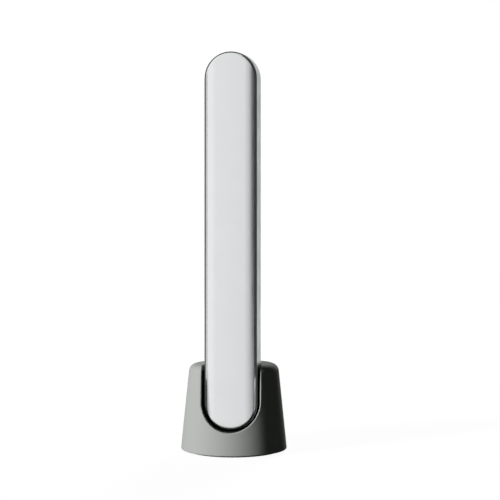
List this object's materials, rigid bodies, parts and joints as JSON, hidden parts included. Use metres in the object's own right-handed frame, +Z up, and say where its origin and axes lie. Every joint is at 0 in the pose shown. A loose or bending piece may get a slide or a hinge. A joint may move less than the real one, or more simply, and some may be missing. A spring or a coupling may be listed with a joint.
{
  "type": "stick facial device",
  "caption": "Slim round-ended facial stick with a long satin front panel, standing upright in a round tapered charging stand with a U-shaped front notch.",
  "frame": {"origin": "centre of the stand's underside, on the table", "axes": "+Z up along the stand's axis, -Y is the front, towards which the stick's long panel and the stand's notch face, +X to the right seen from the front"},
  "size_m": [0.0468, 0.0468, 0.175],
  "materials": {
    "satin_silver": "satin silver-white lacquer",
    "dark_gloss": "glossy near-black",
    "frame_metal": "fine satin, slightly green-grey",
    "back_grey": "satin grey lacquer",
    "key_grey": "satin grey",
    "soft_rubber": "matt black",
    "polished_chrome": "mirror polish",
    "gold_plate": "gold plated",
    "chip_black": "matt black",
    "stem_tan": "matt tan",
    "light_clear": "milky clear",
    "chassis_grey": "matt dark grey",
    "board_green": "solder resist green",
    "screw_steel": "bright steel",
    "cell_blue": "blue shrink sleeve over a metal cell",
    "pad_foam": "dark foam",
    "weight_metal": "dense sintered metal",
    "lead_amber": "amber film",
    "stand_grey": "matt warm grey",
    "cradle_black": "matt black",
    "ballast_metal": "zinc grey",
    "base_dark": "matt dark grey"
  },
  "bodies": {
    "stand": {"stand_shell": "stand_grey", "cradle": "cradle_black", "contact_block": "cradle_black", "pin_spring_left": "screw_steel", "pin_spring_right": "screw_steel", "dock_board": "board_green", "charge_inlet": "screw_steel", "inlet_tongue": "cradle_black", "ballast": "ballast_metal", "ballast_screws": "screw_steel", "base_plate": "base_dark", "base_screws": "screw_steel", "foot_ring": "soft_rubber"},
    "stick": {"front_panel": "satin_silver", "trim_ring": "dark_gloss", "side_frame": "frame_metal", "back_shell": "back_grey", "case_seal": "soft_rubber", "head_insulator": "dark_gloss", "electrode_left": "polished_chrome", "electrode_right": "polished_chrome", "electrode_contacts": "gold_plate", "power_switch": "chip_black", "level_switch": "chip_black", "light_guide": "light_clear", "chassis": "chassis_grey", "circuit_board": "board_green", "board_chips": "chip_black", "board_screws": "screw_steel", "case_screws": "screw_steel", "battery_cell": "cell_blue", "battery_pad": "pad_foam", "battery_tabs": "screw_steel", "motor_can": "screw_steel", "motor_mount": "soft_rubber", "charge_contacts": "gold_plate", "charge_leads": "lead_amber"},
    "power_key": {"power_button": "key_grey", "power_stem": "stem_tan"},
    "level_key": {"level_button": "key_grey", "level_stem": "stem_tan"},
    "motor_rotor": {"motor_weight": "weight_metal"},
    "pin_left": {"charge_pin_left": "gold_plate"},
    "pin_right": {"charge_pin_right": "gold_plate"}
  },
  "joints": [
    {"name": "stick_lift", "type": "slide", "parent": "stand", "child": "stick", "axis": [0, 0, 1], "range_m": [0, 0.045]},
    {"name": "power_button_press", "type": "slide", "parent": "stick", "child": "power_key", "axis": [0, -1, 0], "range_m": [0, 0.0004], "stiffness_N_per_m": 3000, "springref_m": -0.0001},
    {"name": "level_button_press", "type": "slide", "parent": "stick", "child": "level_key", "axis": [0, -1, 0], "range_m": [0, 0.0004], "stiffness_N_per_m": 3000, "springref_m": -0.0001},
    {"name": "motor_spin", "type": "hinge", "parent": "stick", "child": "motor_rotor", "pos_m": [0, -0.0106, 0.16], "axis": [0, 0, 1], "continuous": true},
    {"name": "charge_pin_left_press", "type": "slide", "parent": "stand", "child": "pin_left", "axis": [0, 0, -1], "range_m": [0, 0.0005], "stiffness_N_per_m": 1000, "springref_m": -0.0003, "deforming": ["pin_spring_left"]},
    {"name": "charge_pin_right_press", "type": "slide", "parent": "stand", "child": "pin_right", "axis": [0, 0, -1], "range_m": [0, 0.0005], "stiffness_N_per_m": 1000, "springref_m": -0.0003, "deforming": ["pin_spring_right"]}
  ]
}
